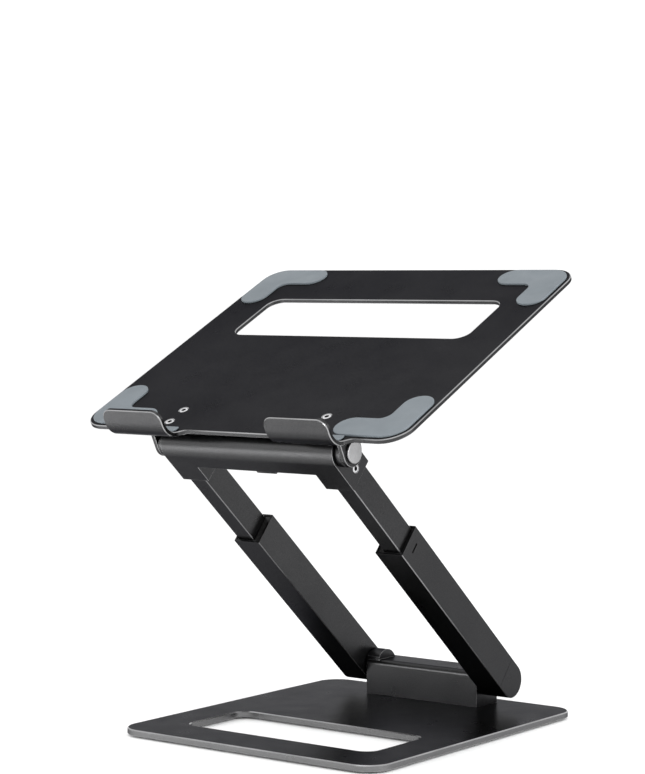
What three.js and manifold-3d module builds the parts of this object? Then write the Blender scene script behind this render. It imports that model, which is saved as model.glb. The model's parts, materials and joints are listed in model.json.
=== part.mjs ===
// Height-adjustable laptop stand: a flat base plate, two telescopic arms on a friction
// hinge, a yoke that joins the arms, and a tilting tray with two front hooks.
// Millimetres, +Z up, +Y towards the back, origin on the floor at the middle of the outline.
import * as THREE from "three";
import { mergeVertices } from "three/addons/utils/BufferGeometryUtils.js";
import Module from "manifold-3d";

// Fits between pieces
const FIXED_GAP = 0.15;
const RUNNING_GAP = 0.3;

// Working lengths: how far joined solids run into each other, and how far a cutter
// runs out past the surface that it cuts
const OVERLAP = 0.5;
const OVERCUT = 1;

const EDGE_CHAMFER = 0.6;

// Base plate; Y places on the base are counted from its front edge
const BASE_WIDTH = 240;
const BASE_DEPTH = 273;
const BASE_THICKNESS = 5;
const BASE_CORNER = 20;
const BASE_CHAMFER = 0.8;
const BASE_WINDOW = { halfWidth: 87, front: 40.2, back: 111, corner: 11 };
const FOOT = { length: 38, width: 11, height: 1.2, gap: 0.1, inFromSide: 25, inFromEnd: 13 };

// Lower hinge
const LOWER_AXIS_BACK = 242;
const LOWER_AXIS_ABOVE_PLATE_BOTTOM = 27.3;
const BLOCK = { halfLength: 53.5, front: 229.8, back: 259.5, height: 28.6, frontRound: 4.5, backRound: 2 };
const EAR = { inner: 42, radius: 13.4, front: 231.5 };
const SHAFT_RADIUS = 3.6;
const SHAFT_END = 74;
const SHAFT_END_ROOM = 0.5;
const SHAFT_BUSH = { inner: 22, radius: 5 };
const SHAFT_NUT = { radius: 4.9, halfLength: 4 };
const SHAFT_SPRINGS = { inner: 4.4, outer: 13.4, discs: 4 };
const BLOCK_SCREW = { x: 36, rows: [236, 253], shank: 2.5, head: 4.6, headHeight: 2.2, top: 17 };
const BLOCK_SCREW_SOCKET = { radius: 1.9, depth: 1.1, sunk: 0.3 };
const SPRING_FOLD = 0.9;
const SPRING_FACETS = 20;
const HINGE_WASHER_RADIUS = 10.5;

// Telescopic arms; places along an arm are counted up from the lower hinge axis
const ARM_LEAN = 49; // degrees from upright, towards the front
const ARM_INNER = 54.83;
const ARM_OUTER = 79.35;
const ARM_HALF_DEPTH = 13.46;
const ARM_CORNER = 1.2;
const INNER_CORNER = 0.5;
const TUBE_CORNER = 1;
const SLEEVE_WALL = 1.6;
const SLEEVE_BOTTOM = 12.3;
const SLEEVE_TOP = 188.5;
const END_PLUG_TOP = 26;
const END_NECK = { height: 3, shrink: 0.3 };
const TUBE = { inner: 61.3, outer: 76.5, halfDepth: 10.9, wall: 1.8, bottom: 96, top: 286 };
const COLLAR = { bottom: 168.5, fit: 0.1, play: 0.2, recess: 0.6, corner: 0.8 };
const SNAP = { at: 179, halfLength: 4, halfHeight: 0.75, sunk: 0.3 };
const FRICTION_PAD = { bottom: 104, top: 160, thickness: 2.8, halfDepth: 9 };
const LEAF = { thickness: 0.5, rise: 0.9, halfDepth: 7, inFromEnds: 5 };
const GLIDE = { flange: 8, plug: 12, outward: 0.9, frontward: 0.6 };

// Yoke and upper hinge
const UPPER_AXIS = 296;
const YOKE_LEG_BOTTOM = 267.5;
const YOKE_LEG_TOP = 294;
const YOKE_WEB_BOTTOM = 284;
const YOKE_BORE = 8.2;
const YOKE_TAB = { from: 0, to: 18, drop: 2.4, front: 13, back: 5 };
const YOKE_SCREW = { at: 276.2, head: 3.2, headDepth: 2.2, sunk: 0.1, shank: 2, end: 72.5 };
const YOKE_SCREW_SOCKET = { radius: 1.6, depth: 1.2 };
const PIN = { radius: 4, inner: 52.5, headRadius: 8.2, headHeight: 1.9, chamfer: 0.4 };
const PIN_BUSH = { inner: 66, radius: 8, sunk: 0.1 };
const PIN_NUT = { inner: 54.5, outer: 60, radius: 7.4 };
const PIN_SPRINGS = { radius: 7.4, gap: 0.2, discs: 4 };
const SPACER = { outer: 84.3, radius: 11 };
const LUG = { outer: 87.8, radius: 10.8, gusset: 4 };

// Tray; in its own frame the upper hinge axis is the origin and the sheet lies level
const TRAY_TILT = 26.2; // degrees, back edge up
const TRAY_TOP = 23.1;
const TRAY_THICKNESS = 3.5;
const TRAY_HALF_WIDTH = 147.1;
const TRAY_FRONT = -20.1;
const TRAY_BACK = 244.4;
const TRAY_CORNER = 20;
const TRAY_CHAMFER = 0.6;
const VENT = { halfWidth: 110.3, front: 129.4, back: 190.9, corner: 11 };
const HOOK = { inner: 47.1, outer: 103.3, reach: 16.5, height: 23.5, corner: 8.5, fillet: 6 };
const HOOK_ROOT = { along: 2, above: 3 };
const LEAF_PLATE = { inner: 57, front: -16.5, back: 16.5, thickness: 3, corner: 3 };
const TRAY_SCREW = { x: 66.4, y: 8.8, head: 3.3, headHeight: 1.9, sunk: 0.1, shank: 1.9 };
const TRAY_SCREW_SOCKET = { radius: 1.6, depth: 1.2 };
const PAD = { height: 1.5, margin: 3, width: 24, across: 60, along: 58, outerCorner: 17, innerCorner: 8 };
const LIP_PAD = { inFromEnd: 3, thickness: 1.2, flat: 2, rise: 16 };

// Derived places
const PLATE_BOTTOM = FOOT.height + FOOT.gap;
const PLATE_TOP = PLATE_BOTTOM + BASE_THICKNESS;
const lean = THREE.MathUtils.degToRad(ARM_LEAN);
const tilt = THREE.MathUtils.degToRad(TRAY_TILT);
const LOWER_AXIS_HEIGHT = PLATE_BOTTOM + LOWER_AXIS_ABOVE_PLATE_BOTTOM;
const UPPER_AXIS_BACK = LOWER_AXIS_BACK - UPPER_AXIS * Math.sin(lean);
const UPPER_AXIS_HEIGHT = LOWER_AXIS_HEIGHT + UPPER_AXIS * Math.cos(lean);
const HOOK_FACE = TRAY_FRONT - HOOK.reach;
const HOOK_TIP_BACK =
  UPPER_AXIS_BACK + HOOK_FACE * Math.cos(tilt) - (TRAY_TOP + HOOK.height) * Math.sin(tilt);
const BASE_FRONT = -(BASE_DEPTH + HOOK_TIP_BACK) / 2;
const TRAY_UNDERSIDE = TRAY_TOP - TRAY_THICKNESS;
const BEND_RADIUS = HOOK.reach; // outside of the hook's bend, which starts at the tray's front edge

const wasm = await Module();
wasm.setup();

// ---- solids ----

const ALONG_X = new THREE.Matrix4().makeBasis(
  new THREE.Vector3(0, 1, 0),
  new THREE.Vector3(0, 0, 1),
  new THREE.Vector3(1, 0, 0),
);

function toSolid(geometry) {
  const bare = geometry.index ? geometry.toNonIndexed() : geometry.clone();
  bare.deleteAttribute("normal");
  bare.deleteAttribute("uv");
  const merged = mergeVertices(bare, 1e-4);
  return new wasm.Manifold(
    new wasm.Mesh({
      numProp: 3,
      vertProperties: new Float32Array(merged.attributes.position.array),
      triVerts: new Uint32Array(merged.index.array),
    }),
  );
}

function toGeometry(solid) {
  const mesh = solid.getMesh();
  const geometry = new THREE.BufferGeometry();
  geometry.setAttribute("position", new THREE.BufferAttribute(mesh.vertProperties, 3));
  geometry.setIndex(new THREE.BufferAttribute(mesh.triVerts, 1));
  const faceted = geometry.toNonIndexed();
  faceted.computeVertexNormals();
  return faceted;
}

// A shape drawn in X and Y, extruded from one height to another, with chamfered rims if asked.
function slab(shape, low, high, { chamfer = 0, curve = 4 } = {}) {
  const geometry = new THREE.ExtrudeGeometry(shape, {
    depth: high - low - 2 * chamfer,
    bevelEnabled: chamfer > 0,
    bevelThickness: chamfer,
    bevelSize: chamfer,
    bevelOffset: -chamfer,
    bevelSegments: 1,
    curveSegments: curve,
  });
  return toSolid(geometry.translate(0, 0, low + chamfer));
}

// A shape drawn in Y and Z, extruded across the stand between two X places.
function bar(shape, fromX, toX, options) {
  const low = Math.min(fromX, toX);
  const high = Math.max(fromX, toX);
  const upright = slab(shape, low, high, options);
  return toSolid(toGeometry(upright).applyMatrix4(ALONG_X));
}

function roundedRect(x0, y0, x1, y1, radius, Kind = THREE.Shape) {
  const [left, right] = x0 < x1 ? [x0, x1] : [x1, x0];
  const shape = new Kind();
  shape.moveTo(left + radius, y0);
  shape.lineTo(right - radius, y0);
  shape.absarc(right - radius, y0 + radius, radius, -Math.PI / 2, 0);
  shape.lineTo(right, y1 - radius);
  shape.absarc(right - radius, y1 - radius, radius, 0, Math.PI / 2);
  shape.lineTo(left + radius, y1);
  shape.absarc(left + radius, y1 - radius, radius, Math.PI / 2, Math.PI);
  shape.lineTo(left, y0 + radius);
  shape.absarc(left + radius, y0 + radius, radius, Math.PI, 1.5 * Math.PI);
  return shape;
}

function rect(x0, y0, x1, y1) {
  const shape = new THREE.Shape();
  shape.moveTo(Math.min(x0, x1), y0);
  shape.lineTo(Math.max(x0, x1), y0);
  shape.lineTo(Math.max(x0, x1), y1);
  shape.lineTo(Math.min(x0, x1), y1);
  return shape;
}

function disc(x, y, radius) {
  const shape = new THREE.Shape();
  shape.absarc(x, y, radius, 0, 2 * Math.PI);
  return shape;
}

function hexagon(x, y, radius) {
  const corners = Array.from({ length: 6 }, (_, i) => {
    const angle = (i * Math.PI) / 3;
    return new THREE.Vector2(x + radius * Math.cos(angle), y + radius * Math.sin(angle));
  });
  return new THREE.Shape(corners);
}

function block(x0, x1, y0, y1, z0, z1) {
  return slab(rect(x0, y0, x1, y1), z0, z1);
}

// A round rod across the stand, about the line y, z.
function rod(radius, fromX, toX, y = 0, z = 0, curve = 10) {
  return bar(disc(y, z, radius), fromX, toX, { curve });
}

function ring(radius, hole, fromX, toX) {
  return rod(radius, fromX, toX).subtract(rod(hole, fromX - OVERCUT, toX + OVERCUT));
}

// Disc springs on a shaft, as one folded ring of the stated number of discs.
function springStack(outer, hole, fromX, toX, discs) {
  const step = (toX - fromX) / discs;
  const profile = [];
  for (let i = 0; i <= discs; i++) {
    profile.push(new THREE.Vector2(i % 2 ? outer : outer - SPRING_FOLD, fromX + i * step));
  }
  profile.push(new THREE.Vector2(hole, toX));
  profile.push(new THREE.Vector2(hole, fromX));
  profile.push(profile[0].clone());
  return toSolid(new THREE.LatheGeometry(profile, SPRING_FACETS).rotateZ(-Math.PI / 2));
}

// ---- materials ----

function paint(color, roughness, metalness) {
  return new THREE.MeshStandardMaterial({ color, roughness, metalness, flatShading: true });
}

const anodised = paint(0x3b3b3d, 0.5, 0.8);
const blackPlastic = paint(0x141414, 0.6, 0);
const silicone = paint(0x8e979e, 0.7, 0);
const footRubber = paint(0x202022, 0.8, 0);
const polished = paint(0xc4c4c6, 0.25, 1);
const springSteel = paint(0x85858a, 0.35, 1);
const bronze = paint(0xa5854e, 0.4, 1);

// ---- scene graph ----

const stand = new THREE.Group();
const base = new THREE.Group();
const arms = new THREE.Group();
const tray = new THREE.Group();
base.position.set(0, BASE_FRONT, 0);
arms.position.set(0, BASE_FRONT + LOWER_AXIS_BACK, LOWER_AXIS_HEIGHT);
arms.rotation.x = lean;
tray.position.set(0, BASE_FRONT + UPPER_AXIS_BACK, UPPER_AXIS_HEIGHT);
tray.rotation.x = tilt;
stand.add(base, arms, tray);

function place(group, name, solid, material) {
  const mesh = new THREE.Mesh(toGeometry(solid), material);
  mesh.name = name;
  group.add(mesh);
}

const SIDES = [
  ["left", -1],
  ["right", 1],
];
const ENDS = [
  ["front", 0],
  ["rear", 1],
];

// ---- base plate, feet and lower hinge block ----

// The four screws that come up from below, or their holes when they are grown by a gap.
function blockScrews(grow) {
  const low = grow > 0 ? PLATE_BOTTOM - OVERCUT : PLATE_BOTTOM + BLOCK_SCREW_SOCKET.sunk;
  const headTop = PLATE_BOTTOM + BLOCK_SCREW.headHeight + grow;
  const top = BLOCK_SCREW.top + grow;
  return [-1, 1].flatMap((side) =>
    BLOCK_SCREW.rows.map((y) => {
      const x = side * BLOCK_SCREW.x;
      const head = slab(disc(x, y, BLOCK_SCREW.head + grow), low, headTop);
      const shank = slab(disc(x, y, BLOCK_SCREW.shank + grow), headTop - OVERLAP, top);
      return head.add(shank);
    }),
  );
}

function makeBasePlate() {
  const outline = roundedRect(-BASE_WIDTH / 2, 0, BASE_WIDTH / 2, BASE_DEPTH, BASE_CORNER);
  const { halfWidth, front, back, corner } = BASE_WINDOW;
  outline.holes.push(roundedRect(-halfWidth, front, halfWidth, back, corner, THREE.Path));
  const plate = slab(outline, PLATE_BOTTOM, PLATE_TOP, { chamfer: BASE_CHAMFER, curve: 5 });
  return blockScrews(FIXED_GAP).reduce((solid, hole) => solid.subtract(hole), plate);
}

function makeHingeBlock() {
  const { halfLength, front, back, frontRound, backRound } = BLOCK;
  const low = PLATE_TOP + FIXED_GAP;
  const top = PLATE_TOP + BLOCK.height;
  const profile = new THREE.Shape();
  profile.moveTo(front, low);
  profile.lineTo(back, low);
  profile.lineTo(back, top - backRound);
  profile.absarc(back - backRound, top - backRound, backRound, 0, Math.PI / 2);
  profile.lineTo(front + frontRound, top);
  profile.absarc(front + frontRound, top - frontRound, frontRound, Math.PI / 2, Math.PI);
  let body = bar(profile, -halfLength, halfLength, { chamfer: EDGE_CHAMFER });
  const past = halfLength + OVERCUT;
  const earTop = LOWER_AXIS_HEIGHT + EAR.radius + OVERCUT;
  const keep = block(-past, past, EAR.front, back, low, earTop);
  const earDisc = disc(LOWER_AXIS_BACK, LOWER_AXIS_HEIGHT, EAR.radius);
  for (const side of [-1, 1]) {
    const ear = bar(earDisc, side * EAR.inner, side * halfLength, {
      chamfer: EDGE_CHAMFER,
      curve: 20,
    });
    body = body.add(ear.intersect(keep));
  }
  const boreRadius = SHAFT_BUSH.radius + FIXED_GAP;
  const bore = rod(boreRadius, -past, past, LOWER_AXIS_BACK, LOWER_AXIS_HEIGHT);
  return blockScrews(FIXED_GAP).reduce((solid, hole) => solid.subtract(hole), body.subtract(bore));
}

place(base, "base_plate", makeBasePlate(), anodised);
place(base, "hinge_block", makeHingeBlock(), anodised);

blockScrews(0).forEach((screw, i) => {
  const x = (i < 2 ? -1 : 1) * BLOCK_SCREW.x;
  const y = BLOCK_SCREW.rows[i % 2];
  const { radius, depth, sunk } = BLOCK_SCREW_SOCKET;
  const socket = slab(hexagon(x, y, radius), 0, PLATE_BOTTOM + sunk + depth);
  place(base, `block_screw_${i + 1}`, screw.subtract(socket), springSteel);
});

for (const [sideName, side] of SIDES) {
  for (const [endName, end] of ENDS) {
    const x = side * (BASE_WIDTH / 2 - FOOT.inFromSide);
    const y = end ? BASE_DEPTH - FOOT.inFromEnd : FOOT.inFromEnd;
    const outline = roundedRect(
      x - FOOT.length / 2,
      y - FOOT.width / 2,
      x + FOOT.length / 2,
      y + FOOT.width / 2,
      FOOT.width / 2,
    );
    place(base, `foot_${endName}_${sideName}`, slab(outline, 0, FOOT.height), footRubber);
  }
  const bush = ring(SHAFT_BUSH.radius, SHAFT_RADIUS + FIXED_GAP, SHAFT_BUSH.inner, BLOCK.halfLength);
  const placed = side < 0 ? bush.mirror([1, 0, 0]) : bush;
  const turned = placed.translate([0, LOWER_AXIS_BACK, LOWER_AXIS_HEIGHT]);
  place(base, `shaft_bush_${sideName}`, turned, bronze);
}

// ---- arms; upright in their own group, with the lower hinge axis at its origin ----

// The section of a sleeve or of a yoke leg, or of the room inside it when it is shrunk.
function armSection(side, shrink, corner, Kind = THREE.Shape) {
  return roundedRect(
    side * (ARM_INNER + shrink),
    -ARM_HALF_DEPTH + shrink,
    side * (ARM_OUTER - shrink),
    ARM_HALF_DEPTH - shrink,
    corner,
    Kind,
  );
}

function tubeSection(side, grow, corner, Kind = THREE.Shape) {
  return roundedRect(
    side * (TUBE.inner - grow),
    -TUBE.halfDepth - grow,
    side * (TUBE.outer + grow),
    TUBE.halfDepth + grow,
    corner,
    Kind,
  );
}

// The collar's snap tab, or with a gap the slot for it in the sleeve's outer wall.
function snapBlock(side, insideX, outsideX, gap) {
  const { at, halfLength, halfHeight } = SNAP;
  const wide = halfLength + gap;
  const high = halfHeight + gap;
  return block(side * insideX, side * outsideX, -wide, wide, at - high, at + high);
}

function makeSleeve(side) {
  const outline = armSection(side, 0, ARM_CORNER);
  outline.holes.push(armSection(side, SLEEVE_WALL, INNER_CORNER, THREE.Path));
  const tube = slab(outline, SLEEVE_BOTTOM, SLEEVE_TOP, { curve: 2 });
  const slotDepth = 2 * SLEEVE_WALL;
  return tube.subtract(snapBlock(side, ARM_OUTER - slotDepth, ARM_OUTER + OVERCUT, FIXED_GAP));
}

function makeArmEnd(side) {
  const top = SLEEVE_BOTTOM - FIXED_GAP;
  const profile = new THREE.Shape();
  profile.moveTo(ARM_HALF_DEPTH, top);
  profile.lineTo(-ARM_HALF_DEPTH, top);
  profile.absarc(0, 0, ARM_HALF_DEPTH, Math.PI, 2 * Math.PI);
  const body = bar(profile, side * ARM_INNER, side * ARM_OUTER, {
    chamfer: EDGE_CHAMFER,
    curve: 14,
  });
  const neckBottom = top - END_NECK.height;
  const neck = slab(armSection(side, END_NECK.shrink, ARM_CORNER), neckBottom, top, { curve: 2 });
  const plugSection = armSection(side, SLEEVE_WALL + FIXED_GAP, INNER_CORNER);
  const plug = slab(plugSection, neckBottom, END_PLUG_TOP, { curve: 2 });
  const boreStart = side * (ARM_INNER - OVERCUT);
  const boreEnd = side * (SHAFT_END + SHAFT_END_ROOM);
  const bore = rod(SHAFT_RADIUS + FIXED_GAP, boreStart, boreEnd);
  return body.add(neck).add(plug).subtract(bore);
}

function makeCollar(side) {
  const outline = armSection(side, SLEEVE_WALL + COLLAR.fit, INNER_CORNER);
  outline.holes.push(tubeSection(side, COLLAR.play, COLLAR.corner, THREE.Path));
  const body = slab(outline, COLLAR.bottom, SLEEVE_TOP - COLLAR.recess, { curve: 2 });
  return body.add(snapBlock(side, TUBE.outer + 2 * COLLAR.play, ARM_OUTER - SNAP.sunk, 0));
}

function makeFrictionPad(side) {
  const face = TUBE.inner - FIXED_GAP;
  return block(
    side * (face - FRICTION_PAD.thickness),
    side * face,
    -FRICTION_PAD.halfDepth,
    FRICTION_PAD.halfDepth,
    FRICTION_PAD.bottom,
    FRICTION_PAD.top,
  );
}

// A bowed strip of spring steel between the sleeve's wall and the friction pad.
function makeLeafSpring(side) {
  const wall = ARM_INNER + SLEEVE_WALL + FIXED_GAP;
  const low = FRICTION_PAD.bottom + LEAF.inFromEnds;
  const high = FRICTION_PAD.top - LEAF.inFromEnds;
  const middle = (low + high) / 2;
  const shape = new THREE.Shape();
  shape.moveTo(wall, low);
  shape.quadraticCurveTo(wall + 2 * LEAF.rise, middle, wall, high);
  shape.lineTo(wall + LEAF.thickness, high);
  shape.quadraticCurveTo(wall + LEAF.thickness + 2 * LEAF.rise, middle, wall + LEAF.thickness, low);
  const strip = new THREE.ExtrudeGeometry(shape, {
    depth: 2 * LEAF.halfDepth,
    bevelEnabled: false,
    curveSegments: 8,
  });
  strip.rotateX(Math.PI / 2).translate(0, LEAF.halfDepth, 0);
  const solid = toSolid(strip);
  return side < 0 ? solid.mirror([1, 0, 0]) : solid;
}

function makeTube(side) {
  const outline = tubeSection(side, 0, TUBE_CORNER);
  outline.holes.push(tubeSection(side, -TUBE.wall, INNER_CORNER, THREE.Path));
  const tube = slab(outline, TUBE.bottom, TUBE.top, { curve: 2 });
  const hole = rod(
    YOKE_SCREW.shank + FIXED_GAP,
    side * (TUBE.outer - TUBE.wall - OVERCUT),
    side * (TUBE.outer + OVERCUT),
    0,
    YOKE_SCREW.at,
    8,
  );
  return tube.subtract(hole);
}

function makeGlide(side) {
  const low = TUBE.bottom - GLIDE.flange;
  const flange = slab(
    roundedRect(
      side * TUBE.inner,
      -TUBE.halfDepth - GLIDE.frontward,
      side * (TUBE.outer + GLIDE.outward),
      TUBE.halfDepth + GLIDE.frontward,
      TUBE_CORNER,
    ),
    low,
    TUBE.bottom - FIXED_GAP,
    { curve: 2 },
  );
  const plugSection = tubeSection(side, -TUBE.wall - FIXED_GAP, INNER_CORNER);
  return flange.add(slab(plugSection, low + OVERLAP, TUBE.bottom + GLIDE.plug, { curve: 2 }));
}

function makeYoke() {
  const profile = new THREE.Shape();
  profile.moveTo(ARM_HALF_DEPTH, YOKE_WEB_BOTTOM);
  profile.lineTo(ARM_HALF_DEPTH, UPPER_AXIS);
  profile.absarc(0, UPPER_AXIS, ARM_HALF_DEPTH, 0, Math.PI);
  profile.lineTo(-ARM_HALF_DEPTH, YOKE_WEB_BOTTOM);
  let yoke = bar(profile, -ARM_OUTER, ARM_OUTER, { chamfer: EDGE_CHAMFER, curve: 14 });
  const { at, head, headDepth, shank } = YOKE_SCREW;
  for (const side of [-1, 1]) {
    const leg = slab(armSection(side, 0, ARM_CORNER), YOKE_LEG_BOTTOM, YOKE_LEG_TOP, { curve: 2 });
    const socketSection = tubeSection(side, FIXED_GAP, TUBE_CORNER);
    const socketTop = TUBE.top + FIXED_GAP;
    const socket = slab(socketSection, YOKE_LEG_BOTTOM - OVERCUT, socketTop, { curve: 2 });
    const seatBottom = side * (ARM_OUTER - headDepth);
    const seat = rod(head + FIXED_GAP, seatBottom, side * (ARM_OUTER + OVERCUT), 0, at);
    const holeBottom = side * (TUBE.outer - OVERCUT);
    const hole = rod(shank + FIXED_GAP, holeBottom, side * ARM_OUTER, 0, at, 8);
    yoke = yoke.add(leg).subtract(socket).subtract(seat).subtract(hole);
  }
  const tab = block(
    YOKE_TAB.from,
    YOKE_TAB.to,
    -YOKE_TAB.front,
    -YOKE_TAB.back,
    YOKE_WEB_BOTTOM - YOKE_TAB.drop,
    YOKE_WEB_BOTTOM + OVERLAP,
  );
  const past = ARM_OUTER + OVERCUT;
  const bore = rod(YOKE_BORE, -past, past, 0, UPPER_AXIS, 16);
  return yoke.add(tab).subtract(bore);
}

function makeYokeScrew(side) {
  const { at, head, headDepth, sunk, shank, end } = YOKE_SCREW;
  const { radius, depth } = YOKE_SCREW_SOCKET;
  const bottom = ARM_OUTER - headDepth + FIXED_GAP;
  const top = ARM_OUTER - sunk;
  const flatHead = rod(head, side * bottom, side * top, 0, at);
  const thread = rod(shank, side * end, side * (bottom + OVERLAP), 0, at, 8);
  const socket = bar(hexagon(0, at, radius), side * (top - depth), side * (top + OVERCUT));
  return flatHead.add(thread).subtract(socket);
}

place(arms, "lower_shaft", rod(SHAFT_RADIUS, -SHAFT_END, SHAFT_END), springSteel);
const { radius: nutRadius, halfLength: nutEnd } = SHAFT_NUT;
const lowerNut = bar(hexagon(0, 0, nutRadius), -nutEnd, nutEnd);
const lowerThread = rod(SHAFT_RADIUS + FIXED_GAP, -nutEnd - OVERCUT, nutEnd + OVERCUT);
place(arms, "lower_lock_nut", lowerNut.subtract(lowerThread), springSteel);

for (const [name, side] of SIDES) {
  place(arms, `lower_arm_${name}`, makeSleeve(side), anodised);
  place(arms, `arm_end_${name}`, makeArmEnd(side), anodised);
  place(arms, `collar_${name}`, makeCollar(side), blackPlastic);
  place(arms, `friction_pad_${name}`, makeFrictionPad(side), blackPlastic);
  place(arms, `leaf_spring_${name}`, makeLeafSpring(side), springSteel);
  place(arms, `upper_arm_${name}`, makeTube(side), anodised);
  place(arms, `glide_${name}`, makeGlide(side), blackPlastic);
  place(arms, `yoke_screw_${name}`, makeYokeScrew(side), polished);

  const shaftHole = SHAFT_RADIUS + FIXED_GAP;
  const { inner, outer, discs } = SHAFT_SPRINGS;
  const stack = springStack(nutRadius, shaftHole, inner, outer, discs);
  const washerInner = BLOCK.halfLength + FIXED_GAP;
  const washer = ring(HINGE_WASHER_RADIUS, shaftHole, washerInner, ARM_INNER - FIXED_GAP);
  const pinHole = PIN.radius + FIXED_GAP;
  const spacer = ring(SPACER.radius, pinHole, ARM_OUTER + FIXED_GAP, SPACER.outer);
  const bush = ring(PIN_BUSH.radius, pinHole, PIN_BUSH.inner, ARM_OUTER - PIN_BUSH.sunk);
  for (const [part, solid, height, material] of [
    ["lower_springs", stack, 0, springSteel],
    ["hinge_washer", washer, 0, blackPlastic],
    ["pin_spacer", spacer, UPPER_AXIS, anodised],
    ["pin_bush", bush, UPPER_AXIS, bronze],
  ]) {
    const raised = solid.translate([0, 0, height]);
    place(arms, `${part}_${name}`, side < 0 ? raised.mirror([1, 0, 0]) : raised, material);
  }
}
place(arms, "yoke", makeYoke(), anodised);

// ---- tray; level in its own group, with the upper hinge axis at its origin ----

// One screw of the tray, or its hole when it is grown by a gap.
function trayScrewAt(side, end, grow) {
  const x = side * TRAY_SCREW.x;
  const y = end ? TRAY_SCREW.y : -TRAY_SCREW.y;
  const headBottom = TRAY_TOP - TRAY_SCREW.headHeight;
  const top = grow > 0 ? TRAY_TOP + OVERCUT : TRAY_TOP - TRAY_SCREW.sunk;
  const plateBottom = TRAY_UNDERSIDE - LEAF_PLATE.thickness;
  const low = grow > 0 ? plateBottom - OVERCUT : plateBottom;
  const head = slab(disc(x, y, TRAY_SCREW.head + grow), headBottom - grow, top);
  return head.add(slab(disc(x, y, TRAY_SCREW.shank + grow), low, headBottom + OVERLAP));
}

// One hook: a strip that bends up from the tray's front edge, with rounded upper corners
// and a small fillet where each side meets the edge.
function makeHook(side) {
  const { inner, outer, corner, fillet } = HOOK;
  const centre = TRAY_UNDERSIDE + BEND_RADIUS;
  const tip = TRAY_TOP + HOOK.height;
  const root = TRAY_FRONT + HOOK_ROOT.along;
  const strip = new THREE.Shape();
  strip.moveTo(root, TRAY_UNDERSIDE);
  strip.lineTo(root, TRAY_TOP);
  strip.lineTo(TRAY_FRONT, TRAY_TOP);
  strip.absarc(TRAY_FRONT, centre, BEND_RADIUS - TRAY_THICKNESS, 1.5 * Math.PI, Math.PI, true);
  strip.lineTo(HOOK_FACE + TRAY_THICKNESS, tip);
  strip.lineTo(HOOK_FACE, tip);
  strip.lineTo(HOOK_FACE, centre);
  strip.absarc(TRAY_FRONT, centre, BEND_RADIUS, Math.PI, 1.5 * Math.PI);
  const bent = bar(strip, side * (inner - fillet), side * (outer + fillet), { curve: 7 });

  const left = Math.min(side * inner, side * outer);
  const right = Math.max(side * inner, side * outer);
  const plan = new THREE.Shape();
  plan.moveTo(left, HOOK_FACE - OVERCUT);
  plan.lineTo(right, HOOK_FACE - OVERCUT);
  plan.lineTo(right, TRAY_FRONT - fillet);
  plan.absarc(right + fillet, TRAY_FRONT - fillet, fillet, Math.PI, Math.PI / 2, true);
  plan.lineTo(right + fillet, root + OVERCUT);
  plan.lineTo(left - fillet, root + OVERCUT);
  plan.lineTo(left - fillet, TRAY_FRONT);
  plan.absarc(left - fillet, TRAY_FRONT - fillet, fillet, Math.PI / 2, 0, true);
  const planCut = slab(plan, TRAY_UNDERSIDE - OVERCUT, tip + OVERCUT, { curve: 4 });

  const far = 4 * HOOK.reach;
  const face = slab(roundedRect(left, -far, right, tip, corner), 0, far, { curve: 5 });
  const faceCut = toSolid(toGeometry(face).rotateX(Math.PI / 2));
  const neckTop = TRAY_TOP + HOOK_ROOT.above;
  const foot = block(left - far, right + far, -far, 0, TRAY_UNDERSIDE - OVERCUT, neckTop);
  return bent.intersect(planCut).intersect(faceCut.add(foot));
}

function makeTray() {
  const outline = roundedRect(-TRAY_HALF_WIDTH, TRAY_FRONT, TRAY_HALF_WIDTH, TRAY_BACK, TRAY_CORNER);
  outline.holes.push(
    roundedRect(-VENT.halfWidth, VENT.front, VENT.halfWidth, VENT.back, VENT.corner, THREE.Path),
  );
  let sheet = slab(outline, TRAY_UNDERSIDE, TRAY_TOP, { chamfer: TRAY_CHAMFER, curve: 5 });
  for (const side of [-1, 1]) {
    sheet = sheet.add(makeHook(side));
    for (const end of [0, 1]) sheet = sheet.subtract(trayScrewAt(side, end, FIXED_GAP));
  }
  return sheet;
}

function makeBracket(side) {
  const top = TRAY_UNDERSIDE - FIXED_GAP;
  const bottom = top - LEAF_PLATE.thickness;
  const lug = new THREE.Shape();
  lug.moveTo(LEAF_PLATE.front, top);
  lug.lineTo(LEAF_PLATE.front, bottom);
  lug.lineTo(-LUG.radius, bottom - LUG.gusset);
  lug.lineTo(-LUG.radius, 0);
  lug.absarc(0, 0, LUG.radius, Math.PI, 2 * Math.PI);
  lug.lineTo(LUG.radius, bottom - LUG.gusset);
  lug.lineTo(LEAF_PLATE.back, bottom);
  lug.lineTo(LEAF_PLATE.back, top);
  const cheek = bar(lug, side * (SPACER.outer + RUNNING_GAP), side * LUG.outer, { curve: 12 });
  const { inner, front, back, corner } = LEAF_PLATE;
  const leaf = roundedRect(side * inner, front, side * LUG.outer, back, corner);
  const plate = slab(leaf, bottom, top, { curve: 2 });
  const boreStart = side * (SPACER.outer - OVERCUT);
  const bore = rod(PIN.radius + FIXED_GAP, boreStart, side * (LUG.outer + OVERCUT));
  return [0, 1].reduce(
    (solid, end) => solid.subtract(trayScrewAt(side, end, FIXED_GAP)),
    cheek.add(plate).subtract(bore),
  );
}

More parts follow.
